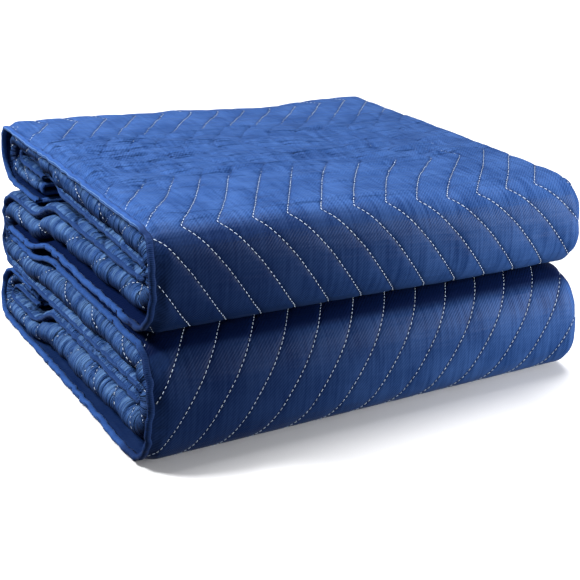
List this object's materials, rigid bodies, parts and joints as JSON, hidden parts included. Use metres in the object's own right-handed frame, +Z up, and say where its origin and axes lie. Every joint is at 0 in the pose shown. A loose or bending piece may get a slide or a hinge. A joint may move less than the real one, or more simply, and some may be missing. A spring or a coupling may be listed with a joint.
{
  "type": "moving blanket",
  "caption": "Quilted moving blanket folded into a thick, nearly square block, with zigzag quilting lines and bound edges.",
  "frame": {"origin": "on the surface that the folded blanket lies on, under the middle of the block", "axes": "+X along the front from the end with the open hems to the end with the folds, +Y from the front bulges to the back, +Z up"},
  "size_m": [0.4985, 0.468, 0.2365],
  "materials": {
    "cloth": "satin woven face, quilted with pale thread",
    "binding": "woven tape"
  },
  "bodies": {
    "root": {"quilted_cloth": "cloth", "skin_side_binding": "binding", "inner_side_binding": "binding", "top_end_binding": "binding", "bottom_end_binding": "binding"}
  },
  "joints": []
}
